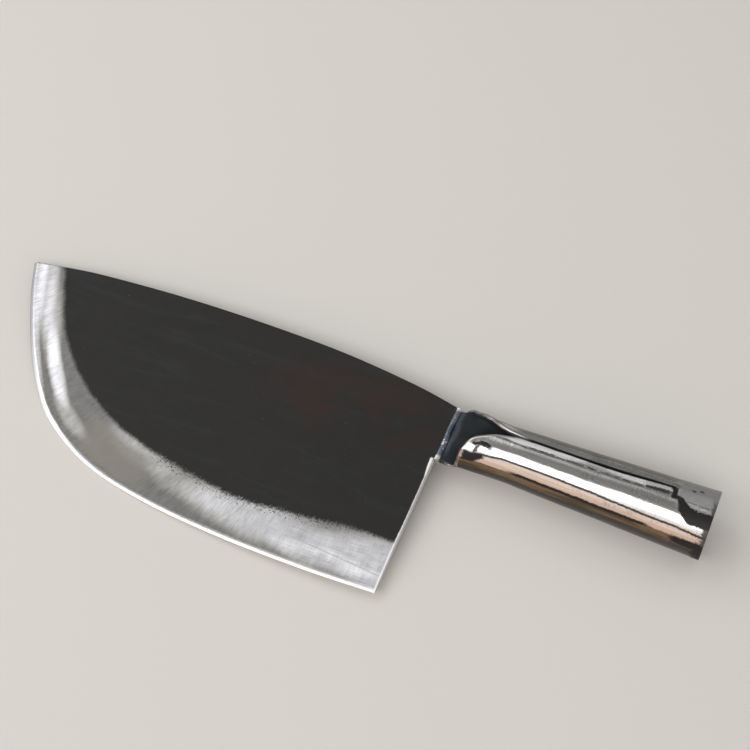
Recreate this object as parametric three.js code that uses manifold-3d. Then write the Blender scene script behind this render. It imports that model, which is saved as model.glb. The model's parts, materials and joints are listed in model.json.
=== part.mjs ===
// A hand-forged butcher's cleaver, all steel, in millimetres.
//
// Every piece is drawn in the knife's own frame: x runs from the heel towards the butt, y towards the
// spine, and z out of the face that carries the handle's seam. z = 0 is the middle plane of the blade,
// and the x axis is the axis of the handle. The finished knife is then laid down as it rests, on the
// underside of the handle and on the belly of the cutting edge, with +Z up and its seam side showing.

import * as THREE from 'three';
import Module from 'manifold-3d';
import { mergeVertices } from 'three/addons/utils/BufferGeometryUtils.js';

const wasm = await Module();
wasm.setup();

// ---- Driving dimensions ----

const GAP = 0.3;                      // left between pieces that touch

// Blade
const SPINE_THICKNESS = 5.0;          // at the neck
const LENGTH_TAPER = 0.0050;          // half thickness lost per mm towards the tip
const DEPTH_TAPER = 0.0073;           // half thickness lost per mm towards the edge
const SECONDARY_WIDTH = 2.0;          // the narrow bevel along the edge
const SECONDARY_THICKNESS = 1.2;      // where the narrow bevel starts
const EDGE_THICKNESS = 0.3;
const TIP_THICKNESS = 1.0;
const BLADE_STEPS = 44;               // along the scale-covered part
const TIP_STEPS = 5;                  // along the last stretch, where the bevel reaches the spine
const TIP_SHARE = 0.03;               // that stretch's share of the edge

// Handle
const HANDLE_LENGTH = 120.7;
const TUBE_RADIUS_AT_HEEL = 11.5;     // the cone of the tube, carried on to x = 0
const TUBE_TAPER = 0.0315;            // radius gained per mm towards the butt
const SHEET = 2.4;                    // thickness of the rolled sheet
const SEAM_HALF_WIDTH = 0.25;
const MOUTH_START = 10;               // where the flank first curls over, and the seam starts to open
const MOUTH_FADE_END = 14;
const HANDLE_COLUMNS = 36;
const TURNED_SIDES = 36;              // round the cap and its weld

// Welds and cap
const WELD_START = 1.2;               // the neck weld lies between the blade and the web
const WELD_END = 3.4;
const WELD_EDGE_SIDE = -14.2;
const WELD_SPINE_SIDE = 11.3;
const WELD_BELOW_FACE = 0.25;         // how far the bead's crown stays under the blade's face
const WELD_SHOULDER_DROP = 0.45;      // the rounding next to the blade
const WELD_SHOULDER_WIDTH = 0.5;
const WELD_TOE_WIDTH = 0.8;           // the slope next to the web
const WELD_TOE_DROP = 0.15;
const WELD_TOE_HEIGHT = 1.1;          // flush with the web
const WELD_END_DROP = 0.25;           // share of its height that the bead loses at its two ends
const WELD_END_POWER = 6;             // how suddenly it does
const WELD_STEPS = 10;
const SEAM_WELD_LENGTH = 17.7;
const SEAM_WELD_HALF_WIDTH = 1.3;
const SEAM_SLOT_MARGIN = 0.4;         // the slot for it starts this much before it
const SEAM_WELD_STEPS = 4;
const BUTT_WELD_WIDTH = 1.1;
const CAP_CLEARANCE = 0.35;           // between the cap or its weld and the tube's mouth
const CAP_THICKNESS = 3.2;
const CAP_RIM = 1.0;                  // thickness of the rim that the butt weld sits on

// ---- Outlines of the blade, heel to tip ----

const HEEL_TOP = new THREE.Vector2(1.3, 12.0);
const HEEL_CORNER = new THREE.Vector2(1.3, -79.8);
const GRIND_AT_HEEL = new THREE.Vector2(1.3, -56.2);
const GRIND_AT_SPINE = new THREE.Vector2(-202, 13.9);
const TIP_TOP = new THREE.Vector2(-216.9, 11.9);
const TIP = new THREE.Vector2(-218.4, 10.7);

const spineLine = new THREE.SplineCurve([
  HEEL_TOP,
  new THREE.Vector2(-20, 15.7),
  new THREE.Vector2(-57, 19.2),
  new THREE.Vector2(-100, 20.1),
  new THREE.Vector2(-142, 19.2),
  new THREE.Vector2(-182, 16.5),
  GRIND_AT_SPINE,
]);

const tipLine = new THREE.LineCurve(GRIND_AT_SPINE, TIP_TOP);

const grindLine = new THREE.SplineCurve([
  GRIND_AT_HEEL,
  new THREE.Vector2(-20, -56.9),
  new THREE.Vector2(-45, -60.2),
  new THREE.Vector2(-72, -62.4),
  new THREE.Vector2(-102, -58.8),
  new THREE.Vector2(-132, -52.6),
  new THREE.Vector2(-160, -39.4),
  new THREE.Vector2(-182, -19.7),
  new THREE.Vector2(-195, 1.2),
  GRIND_AT_SPINE,
]);

const edgeLine = new THREE.SplineCurve([
  HEEL_CORNER,
  new THREE.Vector2(-32, -81.6),
  new THREE.Vector2(-72, -81.9),
  new THREE.Vector2(-110, -79.6),
  new THREE.Vector2(-141, -73.9),
  new THREE.Vector2(-167, -62.0),
  new THREE.Vector2(-183.5, -47.3),
  new THREE.Vector2(-198, -28),
  new THREE.Vector2(-210.7, -6.2),
  TIP,
]);

// ---- Helpers ----

// A smooth profile through a few chosen [x, value] points, level beyond both ends. The slope at each
// point is the harmonic mean of its two neighbours' slopes, so the profile never overshoots.
function profile(points) {
  const rise = (i) => (points[i + 1][1] - points[i][1]) / (points[i + 1][0] - points[i][0]);
  const slopes = points.map((point, i) => {
    if (i === 0 || i === points.length - 1) return 0;
    const before = rise(i - 1);
    const after = rise(i);
    return before * after > 0 ? 2 * before * after / (before + after) : 0;
  });
  return (x) => {
    if (x <= points[0][0]) return points[0][1];
    if (x >= points[points.length - 1][0]) return points[points.length - 1][1];
    const i = points.findIndex((point, k) => x < points[k + 1][0]);
    const span = points[i + 1][0] - points[i][0];
    const t = (x - points[i][0]) / span;
    return points[i][1] * (1 + 2 * t) * (1 - t) ** 2 + points[i + 1][1] * t * t * (3 - 2 * t)
      + span * (slopes[i] * t * (1 - t) ** 2 - slopes[i + 1] * t * t * (1 - t));
  };
}

// Joins a row of rings of equal length into one closed skin. A ring runs out along one side of the
// wall and back along the other, so each end is closed by quads between the two sides.
function loft(rings) {
  const size = rings[0].length;
  const positions = rings.flat().flatMap((point) => [point.x, point.y, point.z]);
  const quads = [];
  for (let row = 0; row + 1 < rings.length; row += 1) {
    for (let i = 0; i < size; i += 1) {
      const next = (i + 1) % size;
      const here = row * size;
      quads.push([here + i, here + next, here + size + next, here + size + i]);
    }
  }
  const last = (rings.length - 1) * size;
  for (let i = 0; i + 1 < size / 2; i += 1) {
    const across = size - 1 - i;
    quads.push([across, across - 1, i + 1, i]);
    quads.push([last + i, last + i + 1, last + across - 1, last + across]);
  }
  return weldedGeometry(positions, quads.flatMap(([a, b, c, d]) => [a, b, c, a, c, d]));
}

// Merges equal points, drops the triangles that this leaves without area, and turns the skin outwards.
function weldedGeometry(positions, index) {
  const loose = new THREE.BufferGeometry();
  loose.setAttribute('position', new THREE.Float32BufferAttribute(positions, 3));
  loose.setIndex(index);
  const welded = mergeVertices(loose, 1e-4);
  const corners = welded.index.array;
  const triangles = [];
  for (let i = 0; i < corners.length; i += 3) {
    const [a, b, c] = corners.slice(i, i + 3);
    if (a !== b && b !== c && c !== a) triangles.push([a, b, c]);
  }
  const point = (i) => new THREE.Vector3().fromBufferAttribute(welded.attributes.position, i);
  const volume = triangles.reduce((sum, [a, b, c]) => sum + point(a).cross(point(b)).dot(point(c)), 0);
  if (volume < 0) triangles.forEach((triangle) => triangle.reverse());
  welded.setIndex(triangles.flat());
  return welded;
}

function toSolid(geometry) {
  const bare = geometry.clone();
  bare.deleteAttribute('normal');
  bare.deleteAttribute('uv');
  const merged = mergeVertices(bare, 1e-4);
  return new wasm.Manifold(new wasm.Mesh({
    numProp: 3,
    vertProperties: new Float32Array(merged.attributes.position.array),
    triVerts: new Uint32Array(merged.index.array),
  }));
}

function fromSolid(solid) {
  const mesh = solid.getMesh();
  const geometry = new THREE.BufferGeometry();
  geometry.setAttribute('position', new THREE.BufferAttribute(mesh.vertProperties, 3));
  geometry.setIndex(new THREE.BufferAttribute(mesh.triVerts, 1));
  return geometry;
}

// A box between two corners.
function boxBetween(low, high) {
  const box = new THREE.Box3(low, high);
  const size = box.getSize(new THREE.Vector3());
  const centre = box.getCenter(new THREE.Vector3());
  return new THREE.BoxGeometry(size.x, size.y, size.z).translate(centre.x, centre.y, centre.z);
}

// ---- Blade ----

// Half the thickness under the scale-covered flats, which are true planes.
function flatHalf(point) {
  return SPINE_THICKNESS / 2 + point.x * LENGTH_TAPER + (point.y - HEEL_TOP.y) * DEPTH_TAPER;
}

// Cross-section from spine to edge at a share of the way along the blade, heel to tip.
function bladeSection(share) {
  const edge = edgeLine.getPointAt(share);
  const along = Math.min(share / (1 - TIP_SHARE), 1);
  const beyond = Math.max((share - 1 + TIP_SHARE) / TIP_SHARE, 0);
  const spine = beyond > 0 ? tipLine.getPointAt(beyond) : spineLine.getPointAt(along);
  const grind = beyond > 0 ? spine : grindLine.getPointAt(along);
  const grindHalf = THREE.MathUtils.lerp(flatHalf(grind), TIP_THICKNESS / 2, beyond);
  const spineHalf = beyond > 0 ? grindHalf : flatHalf(spine);
  const reach = Math.min(SECONDARY_WIDTH / edge.distanceTo(grind), 0.5);
  const secondary = edge.clone().lerp(grind, reach);
  const secondaryHalf = Math.min(SECONDARY_THICKNESS / 2, grindHalf * 0.8);
  const side = [
    [spine, spineHalf],
    [grind, grindHalf],
    [secondary, secondaryHalf],
    [edge, EDGE_THICKNESS / 2],
  ];
  const front = side.map(([point, half]) => new THREE.Vector3(point.x, point.y, half));
  const back = side.map(([point, half]) => new THREE.Vector3(point.x, point.y, -half));
  return [...front, ...back.reverse()];
}

function bladeGeometry() {
  const shares = [];
  for (let i = 0; i <= BLADE_STEPS; i += 1) shares.push((1 - TIP_SHARE) * i / BLADE_STEPS);
  for (let i = 1; i <= TIP_STEPS; i += 1) shares.push(1 - TIP_SHARE + TIP_SHARE * i / TIP_STEPS);
  const whole = toSolid(loft(shares.map(bladeSection)));
  const neckCut = toSolid(boxBetween(
    new THREE.Vector3(WELD_START, WELD_EDGE_SIDE - GAP, -SPINE_THICKNESS),
    new THREE.Vector3(WELD_END, HEEL_TOP.y + SPINE_THICKNESS, SPINE_THICKNESS),
  ));
  return fromSolid(whole.subtract(neckCut));
}

// ---- Rolled handle ----

const SEAM_WELD_START = HANDLE_LENGTH - SEAM_WELD_LENGTH;
const SEAM_SLOT_START = SEAM_WELD_START - SEAM_SLOT_MARGIN;
const SEAM_SLIT_END = SEAM_SLOT_START - SEAM_SLOT_MARGIN;

const tubeRadius = (x) => TUBE_RADIUS_AT_HEEL + TUBE_TAPER * x;

// How much wider than the tube the section is to either side of the axis, near the neck, in mm against x.
const spineFlare = profile([[3, -0.2], [6, 0.4], [9, 1.5], [12.5, 2], [34, 0]]);
const edgeFlare = profile([[6, 3], [11, 2.1], [34, 0]]);

// How far the back of the section has sunk from the flat web (0) to the full round (1).
const backSink = profile([[6, 0], [30, 1]]);

// The section's squareness: 2 is an ellipse, and higher is a flat plate with rounded edges.
const squareness = profile([[5, 9], [16, 3], [28, 2]]);

// Thickness across the side of the section: rounded off where it is the web's own edge.
const sideThickness = profile([[8.5, 0.4], [12, SHEET]]);

// Where the seam lies, in degrees from the top of the tube towards the spine. It wanders a little.
const seamAngle = profile([[36, 20.3], [75, 17.7], [103, 21.5]]);

// How far round the section, from the middle of the back, each flank has been rolled: 180 at the seam.
const edgeFlank = profile([
  [10, 70], [11, 112], [12.4, 132], [14.3, 147], [19.4, 161.5], [25, 173], [36, 180],
]);
const spineFlank = profile([
  [4, 110], [11, 126], [16, 145], [20.5, 156], [24, 166], [29, 173.5], [42, 180],
]);

// Half the width of the opening along the seam: a fine slit, and a slot where the seam is welded.
const seamHalf = profile([
  [0, SEAM_HALF_WIDTH],
  [SEAM_SLIT_END, SEAM_HALF_WIDTH],
  [SEAM_SLOT_START, SEAM_WELD_HALF_WIDTH + GAP],
]);

// A power that keeps its sign, for the superellipse.
const signedPower = (base, power) => Math.sign(base) * Math.abs(base) ** power;

// A point of the section at an angle from the middle of the back, positive towards the spine.
function sectionPoint(x, degrees, inset, backDepth, frontHeight) {
  const angle = THREE.MathUtils.degToRad(degrees);
  const flare = degrees > 0 ? spineFlare(x) : edgeFlare(x);
  const halfWidth = tubeRadius(x) + flare - inset;
  const onBack = Math.abs(degrees) < 90;
  const power = onBack ? 2 / squareness(x) : 1;
  const depth = onBack ? backDepth : frontHeight;
  return new THREE.Vector3(
    x,
    halfWidth * signedPower(Math.sin(angle), power),
    -depth * signedPower(Math.cos(angle), power),
  );
}

function handleSection(x) {
  const radius = tubeRadius(x);
  const seam = THREE.MathUtils.radToDeg(seamHalf(x) / radius)
    * THREE.MathUtils.smoothstep(x, MOUTH_START, MOUTH_FADE_END);
  const low = seam - edgeFlank(x) - seamAngle(x);
  const high = spineFlank(x) - seamAngle(x) - seam;
  const outerDepth = THREE.MathUtils.lerp(SHEET / 2, radius, backSink(x));
  const innerDepth = outerDepth - SHEET;
  const outer = [];
  const inner = [];
  for (let i = 0; i <= HANDLE_COLUMNS; i += 1) {
    const degrees = THREE.MathUtils.lerp(low, high, i / HANDLE_COLUMNS);
    outer.push(sectionPoint(x, degrees, 0, outerDepth, radius));
    inner.push(sectionPoint(x, degrees, sideThickness(x), innerDepth, radius - SHEET));
  }
  return [...outer, ...inner.reverse()];
}

function handleGeometry() {
  const stations = [
    WELD_END + GAP, 5, 6.5, 8, 9.2, 10, 10.3, 10.6, 10.9, 11.2, 11.7, 12.3, 13, 13.8, 14.7, 15.8, 17,
    18.4, 19.8, 21.2, 22.6, 24.2, 26, 28, 30.5, 33.5, 37, 42, 60, 85,
    SEAM_SLIT_END, (SEAM_SLIT_END + SEAM_SLOT_START) / 2, SEAM_SLOT_START, HANDLE_LENGTH,
  ];
  return loft(stations.map(handleSection));
}

// ---- Welds and butt cap ----

// One of the two beads that fill the groove between the blade and the web. side is 1 or -1.
function neckWeldGeometry(side) {
  const low = WELD_START + GAP;
  const high = WELD_END;
  const root = GAP / 2;
  const crown = SPINE_THICKNESS / 2 - WELD_BELOW_FACE;
  const outline = [
    [low, root],
    [low, crown - WELD_SHOULDER_DROP],
    [low + WELD_SHOULDER_WIDTH, crown],
    [high - WELD_TOE_WIDTH, crown - WELD_TOE_DROP],
    [high, WELD_TOE_HEIGHT],
    [high, root],
  ];
  const rings = [];
  for (let i = 0; i <= WELD_STEPS; i += 1) {
    const y = THREE.MathUtils.lerp(WELD_EDGE_SIDE, WELD_SPINE_SIDE, i / WELD_STEPS);
    const endRound = 1 - WELD_END_DROP * Math.abs(2 * i / WELD_STEPS - 1) ** WELD_END_POWER;
    rings.push(outline.map(([x, z]) => new THREE.Vector3(x, y, side * (root + (z - root) * endRound))));
  }
  return loft(rings);
}

// The ground-flush bead that closes the seam at the butt, between the tube's two free edges.
function seamWeldGeometry() {
  const middle = THREE.MathUtils.degToRad(seamAngle(HANDLE_LENGTH));
  const ring = (x) => {
    const radius = tubeRadius(x);
    const points = [];
    for (const [wall, direction] of [[radius, 1], [radius - SHEET, -1]]) {
      for (let i = 0; i <= SEAM_WELD_STEPS; i += 1) {
        const across = direction * SEAM_WELD_HALF_WIDTH * (2 * i / SEAM_WELD_STEPS - 1);
        const angle = middle + across / radius;
        points.push(new THREE.Vector3(x, wall * Math.sin(angle), wall * Math.cos(angle)));
      }
    }
    return points;
  };
  return loft([ring(HANDLE_LENGTH), ring(SEAM_WELD_START)]);
}

// A turned piece, from a profile of [distance along the handle, radius], about the handle's axis.
function turned(outline) {
  const points = outline.map(([along, radius]) => new THREE.Vector2(radius, along));
  return new THREE.LatheGeometry(points, TURNED_SIDES).rotateZ(-Math.PI / 2);
}

const mouthRadius = tubeRadius(HANDLE_LENGTH) - SHEET - CAP_CLEARANCE;

function buttCapGeometry() {
  const face = HANDLE_LENGTH;
  const rimFace = face - CAP_THICKNESS + CAP_RIM;
  const plugRadius = mouthRadius - BUTT_WELD_WIDTH - GAP;
  return turned([
    [face - CAP_THICKNESS, 0],
    [face - CAP_THICKNESS, mouthRadius],
    [rimFace, mouthRadius],
    [rimFace, plugRadius],
    [face, plugRadius],
    [face, 0],
  ]);
}

function buttWeldGeometry() {
  const root = HANDLE_LENGTH - CAP_THICKNESS + CAP_RIM + GAP;
  const inner = mouthRadius - BUTT_WELD_WIDTH;
  return turned([
    [root, inner],
    [root, mouthRadius],
    [HANDLE_LENGTH, mouthRadius],
    [HANDLE_LENGTH, inner],
    [root, inner],
  ]);
}

// ---- Assembly ----

const scaledSteel = new THREE.MeshStandardMaterial({ color: 0x4a4946, roughness: 0.55, metalness: 0.8 });
const polishedSteel = new THREE.MeshStandardMaterial({ color: 0xb9b6b2, roughness: 0.22, metalness: 1 });
const weldSteel = new THREE.MeshStandardMaterial({ color: 0x70737c, roughness: 0.45, metalness: 0.9 });

function piece(name, geometry, material) {
  const mesh = new THREE.Mesh(geometry, material);
  mesh.name = name;
  return mesh;
}

const blade = piece('blade', bladeGeometry(), scaledSteel);

const knife = new THREE.Group();
knife.add(
  blade,
  piece('rolled_handle', handleGeometry(), polishedSteel),
  piece('neck_weld_front', neckWeldGeometry(1), weldSteel),
  piece('neck_weld_back', neckWeldGeometry(-1), weldSteel),
  piece('seam_weld', seamWeldGeometry(), polishedSteel),
  piece('butt_cap', buttCapGeometry(), polishedSteel),
  piece('butt_weld', buttWeldGeometry(), weldSteel),
);

// The cone of the handle lies along the surface, so the knife pitches by the tube's taper.
const restingPitch = -Math.atan(TUBE_TAPER);

// The knife rolls about the handle until the first point of the blade meets the surface.
function restingRoll() {
  const corners = blade.geometry.attributes.position;
  let roll = Infinity;
  for (let i = 0; i < corners.count; i += 1) {
    const drop = TUBE_RADIUS_AT_HEEL + TUBE_TAPER * corners.getX(i);
    const depth = -corners.getY(i);
    const behind = corners.getZ(i);
    const reach = Math.hypot(depth, behind);
    if (depth > drop) roll = Math.min(roll, Math.asin(drop / reach) + Math.atan2(behind, depth));
  }
  return roll;
}

knife.rotation.set(restingRoll(), restingPitch, 0, 'YXZ');

const group = new THREE.Group();
group.add(knife);
group.updateMatrixWorld(true);
const bounds = new THREE.Box3().setFromObject(group, true);
const centre = bounds.getCenter(new THREE.Vector3());
knife.position.set(-centre.x, -centre.y, -bounds.min.z);
group.updateMatrixWorld(true);

export default group;
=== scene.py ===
import json
import math

import bmesh
import bpy
import numpy as np
from mathutils import Matrix, Vector


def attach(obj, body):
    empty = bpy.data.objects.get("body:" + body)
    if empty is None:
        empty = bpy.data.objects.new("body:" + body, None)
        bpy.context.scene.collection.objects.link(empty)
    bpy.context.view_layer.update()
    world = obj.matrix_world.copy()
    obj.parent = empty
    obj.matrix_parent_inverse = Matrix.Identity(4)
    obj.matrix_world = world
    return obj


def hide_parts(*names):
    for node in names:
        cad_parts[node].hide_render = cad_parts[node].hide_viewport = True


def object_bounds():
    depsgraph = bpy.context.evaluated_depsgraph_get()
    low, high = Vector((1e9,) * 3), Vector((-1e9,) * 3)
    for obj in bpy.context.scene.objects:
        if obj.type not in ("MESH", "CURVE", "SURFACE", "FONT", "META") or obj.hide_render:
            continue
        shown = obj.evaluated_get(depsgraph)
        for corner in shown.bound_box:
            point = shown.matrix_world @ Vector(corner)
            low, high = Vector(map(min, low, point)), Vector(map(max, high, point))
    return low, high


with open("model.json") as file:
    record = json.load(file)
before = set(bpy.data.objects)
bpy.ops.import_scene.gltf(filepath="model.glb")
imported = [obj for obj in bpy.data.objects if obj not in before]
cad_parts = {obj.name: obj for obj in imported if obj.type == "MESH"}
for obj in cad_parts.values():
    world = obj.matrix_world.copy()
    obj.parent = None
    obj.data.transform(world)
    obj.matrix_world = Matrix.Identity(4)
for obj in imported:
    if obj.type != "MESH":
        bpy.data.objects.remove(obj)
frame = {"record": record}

CAD_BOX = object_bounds()
MM = 0.001

# ---- The knife's own frame, recovered from the part's mounts ----
# x runs from heel to butt along the handle's axis, y towards the spine, z out of the seam side, in mm.

MOUNTS = {mount["name"]: mount for mount in frame["record"]["mounts"]}
HANDLE_LENGTH = 120.7


def knife_frame():
    """The origin in metres, and a matrix whose columns are the knife's axes."""
    x = Vector(MOUNTS["butt_face"]["axis"]).normalized()
    between = Vector(MOUNTS["seam_side_flat"]["axis"]) - Vector(MOUNTS["back_flat"]["axis"])
    y = between.cross(x).normalized()
    axes = Matrix((x, y, x.cross(y))).transposed()
    return Vector(MOUNTS["butt_face"]["pos_m"]) - x * HANDLE_LENGTH * MM, axes


ORIGIN, AXES = knife_frame()
TO_WORLD = Matrix.Translation(ORIGIN) @ (AXES * MM).to_4x4()


# ---- Curves and profiles ----

def profile(points):
    """A smooth profile through a few [x, value] points, level beyond both ends, that never overshoots."""
    xs, values = np.array(points, float).T
    rise = np.diff(values) / np.diff(xs)
    slopes = np.zeros(len(xs))
    for i in range(1, len(xs) - 1):
        if rise[i - 1] * rise[i] > 0:
            slopes[i] = 2 * rise[i - 1] * rise[i] / (rise[i - 1] + rise[i])

    def value(x):
        x = np.clip(np.asarray(x, float), xs[0], xs[-1])
        i = np.clip(np.searchsorted(xs, x, side="right") - 1, 0, len(xs) - 2)
        span = xs[i + 1] - xs[i]
        t = (x - xs[i]) / span
        return (values[i] * (1 + 2 * t) * (1 - t) ** 2 + values[i + 1] * t * t * (3 - 2 * t)
                + span * (slopes[i] * t * (1 - t) ** 2 - slopes[i + 1] * t * t * (1 - t)))

    return value


def smooth_curve(points, count=3000):
    """A Catmull-Rom curve through the points, as a function of the share of its length."""
    points = np.array(points, float)
    last = len(points) - 1
    t = np.linspace(0, last, count)
    i = np.minimum(t.astype(int), last - 1)
    w = (t - i)[:, None]
    p0, p1 = points[np.maximum(i - 1, 0)], points[i]
    p2, p3 = points[i + 1], points[np.minimum(i + 2, last)]
    v0, v1 = (p2 - p0) / 2, (p3 - p1) / 2
    drawn = ((2 * p1 - 2 * p2 + v0 + v1) * w ** 3 + (-3 * p1 + 3 * p2 - 2 * v0 - v1) * w ** 2
             + v0 * w + p1)
    steps = np.hypot(*np.diff(drawn, axis=0).T)
    run = np.concatenate([[0], np.cumsum(steps)])
    share = run / run[-1]

    def point(at):
        return np.stack([np.interp(at, share, drawn[:, k]) for k in (0, 1)], -1)

    point.length = run[-1]
    return point


def waves(u, v, seed, lengths, count=9):
    """Gentle unevenness between about -1 and 1: a sum of seeded waves of the given lengths in u and v."""
    draw = np.random.default_rng(seed)
    total = np.zeros(np.broadcast(u, v).shape)
    for _ in range(count):
        fu, fv = draw.uniform(-1, 1, 2) / np.array(lengths)
        total += np.sin(2 * math.pi * (fu * u + fv * v) + draw.uniform(0, 2 * math.pi))
    return total / math.sqrt(2 * count)


# ---- Meshes ----

def make_piece(name, points, faces, attributes, finish, slot, node):
    """A closed piece from points in the knife's frame, riding on the body and standing for its CAD node."""
    mesh = bpy.data.meshes.new(name)
    world = np.c_[points, np.ones(len(points))] @ np.array(TO_WORLD).T
    # Blade and handle keep inside the CAD's box to the last hundredth of a millimetre.
    world = np.clip(world[:, :3], *CAD_BOX)
    mesh.from_pydata(world.tolist(), [], [list(map(int, face)) for face in faces])
    for label, values in attributes.items():
        layer = mesh.attributes.new(label, "FLOAT", "POINT")
        layer.data.foreach_set("value", np.asarray(values, np.float32))
    tidy_mesh(mesh)
    mesh.materials.append(finish)
    piece = bpy.data.objects.new(name, mesh)
    bpy.context.scene.collection.objects.link(piece)
    return settle(piece, slot, node)


def tidy_mesh(mesh, merge=1e-6):
    """Merges doubled points, drops faces without area and turns the skin outwards."""
    skin = bmesh.new()
    skin.from_mesh(mesh)
    bmesh.ops.remove_doubles(skin, verts=skin.verts, dist=merge)
    bmesh.ops.dissolve_degenerate(skin, edges=skin.edges, dist=merge)
    bmesh.ops.recalc_face_normals(skin, faces=skin.faces)
    for face in skin.faces:
        face.smooth = True
    skin.to_mesh(mesh)
    skin.free()


def settle(piece, slot, *nodes):
    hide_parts(*nodes)
    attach(piece, "root")
    return piece


def ring_faces(rows, size):
    """Quads of a row of equal rings, each of which runs out and back, and of the two ends."""
    here = np.arange(rows - 1)[:, None] * size + np.arange(size)[None]
    ahead = np.arange(rows - 1)[:, None] * size + (np.arange(size)[None] + 1) % size
    sides = np.stack([here, ahead, ahead + size, here + size], -1).reshape(-1, 4)
    half = np.arange(size // 2 - 1)
    near = np.stack([size - 1 - half, size - 2 - half, half + 1, half], -1)
    far = (rows - 1) * size + near[:, ::-1]
    return np.concatenate([sides, near, far]).tolist()


# ---- Blade shape ----

SPINE_THICKNESS = 5.0
LENGTH_TAPER = 0.0050
DEPTH_TAPER = 0.0073
SECONDARY_WIDTH = 1.4
SECONDARY_THICKNESS = 0.93
EDGE_THICKNESS = 0.3
TIP_THICKNESS = 1.0
TIP_SHARE = 0.03
HEEL_TOP = (1.3, 12.0)
HEEL_CORNER = (1.3, -79.8)
GRIND_AT_HEEL = (1.3, -56.2)
GRIND_AT_SPINE = (-202, 13.9)
TIP_TOP = (-216.9, 11.9)
TIP = (-218.4, 10.7)
ARRIS = 0.55                # radius worn on the spine's and heel's corners
HAMMER_DEPTH = 0.06         # unevenness left by the hammer under the scale
GRIND_WAVE = 0.035          # unevenness of the hand-ground bevel

spine_line = smooth_curve([HEEL_TOP, (-20, 15.7), (-57, 19.2), (-100, 20.1), (-142, 19.2), (-182, 16.5),
                           GRIND_AT_SPINE])
grind_line = smooth_curve([GRIND_AT_HEEL, (-20, -56.9), (-45, -60.2), (-72, -62.4), (-102, -58.8),
                           (-132, -52.6), (-160, -39.4), (-182, -19.7), (-195, 1.2), GRIND_AT_SPINE])
edge_line = smooth_curve([HEEL_CORNER, (-32, -81.6), (-72, -81.9), (-110, -79.6), (-141, -73.9),
                          (-167, -62.0), (-183.5, -47.3), (-198, -28), (-210.7, -6.2), TIP])


def flat_half(point):
    """Half the thickness under the scale-covered flats."""
    return SPINE_THICKNESS / 2 + point[..., 0] * LENGTH_TAPER + (point[..., 1] - HEEL_TOP[1]) * DEPTH_TAPER


def mix(a, b, t):
    return a + (b - a) * t


def blade_grid():
    """Outline points, half thickness and distances of one side: rows heel to tip, columns spine to edge."""
    near_heel = np.array([0, 0.04, 0.1, 0.19, 0.3, 0.42, 0.56, 0.8, 1.2]) / spine_line.length
    along_body = np.linspace(near_heel[-1] + 0.003, 1 - TIP_SHARE, 330)
    shares = np.concatenate([near_heel, along_body, np.linspace(1 - TIP_SHARE, 1, 26)[1:]])
    along = np.minimum(shares / (1 - TIP_SHARE), 1)
    beyond = np.maximum((shares - 1 + TIP_SHARE) / TIP_SHARE, 0)[:, None]
    edge = edge_line(shares)
    tip_top = mix(np.array(GRIND_AT_SPINE, float), np.array(TIP_TOP, float), beyond)
    spine = np.where(beyond > 0, tip_top, spine_line(along))
    grind = np.where(beyond > 0, tip_top, grind_line(along))
    grind_half = mix(flat_half(grind), TIP_THICKNESS / 2, beyond[:, 0])
    spine_half = np.where(beyond[:, 0] > 0, grind_half, flat_half(spine))
    bevel = np.hypot(*(edge - grind).T)
    flat = np.hypot(*(grind - spine).T)
    reach = np.minimum(SECONDARY_WIDTH / bevel, 0.5)
    secondary_half = np.minimum(SECONDARY_THICKNESS / 2, grind_half * 0.8)

    near_spine = np.array([0, 0.03, 0.09, 0.18, 0.29, 0.42, 0.6, 1.0])
    columns = []
    for inset in near_spine:
        columns.append((np.minimum(inset / np.maximum(flat, 1e-6), 1), None, "flat"))
    for t in np.linspace(0, 1, 46)[1:]:
        start = np.minimum(near_spine[-1] / np.maximum(flat, 1e-6), 1)
        columns.append((mix(start, 1, t), None, "flat"))
    for t in np.linspace(0, 1, 26)[1:]:
        columns.append((t * (1 - reach), 1 - reach, "bevel"))
    for t in (0.05, 0.2, 0.4, 0.6, 0.8, 1):
        columns.append((1 - reach + reach * t, None, "secondary"))

    points, halves, from_grind, from_edge, from_spine = [], [], [], [], []
    for t, end, zone in columns:
        t = np.broadcast_to(t, shares.shape)
        a, b = (spine, grind) if zone == "flat" else (grind, edge)
        point = mix(a, b, t[:, None])
        if zone == "flat":
            half = mix(spine_half, grind_half, t)
        elif zone == "bevel":
            half = mix(grind_half, secondary_half, t / end)
        else:
            half = mix(secondary_half, EDGE_THICKNESS / 2, (t - 1 + reach) / reach)
        points.append(point)
        halves.append(half)
        from_grind.append(np.where(zone == "flat", (t - 1) * flat, t * bevel))
        from_edge.append(np.where(zone == "flat", bevel + (1 - t) * flat, (1 - t) * bevel))
        from_spine.append(np.where(zone == "flat", t * flat, flat + t * bevel))
    stack = [np.stack(values, 1) for values in (points, halves, from_grind, from_edge, from_spine)]
    return (*stack, shares)


def rounded(distance, radius):
    """How far a corner of that radius has fallen away at a distance from its wall."""
    inside = np.clip(radius - distance, 0, radius)
    return radius - np.sqrt(radius ** 2 - inside ** 2)


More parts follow.
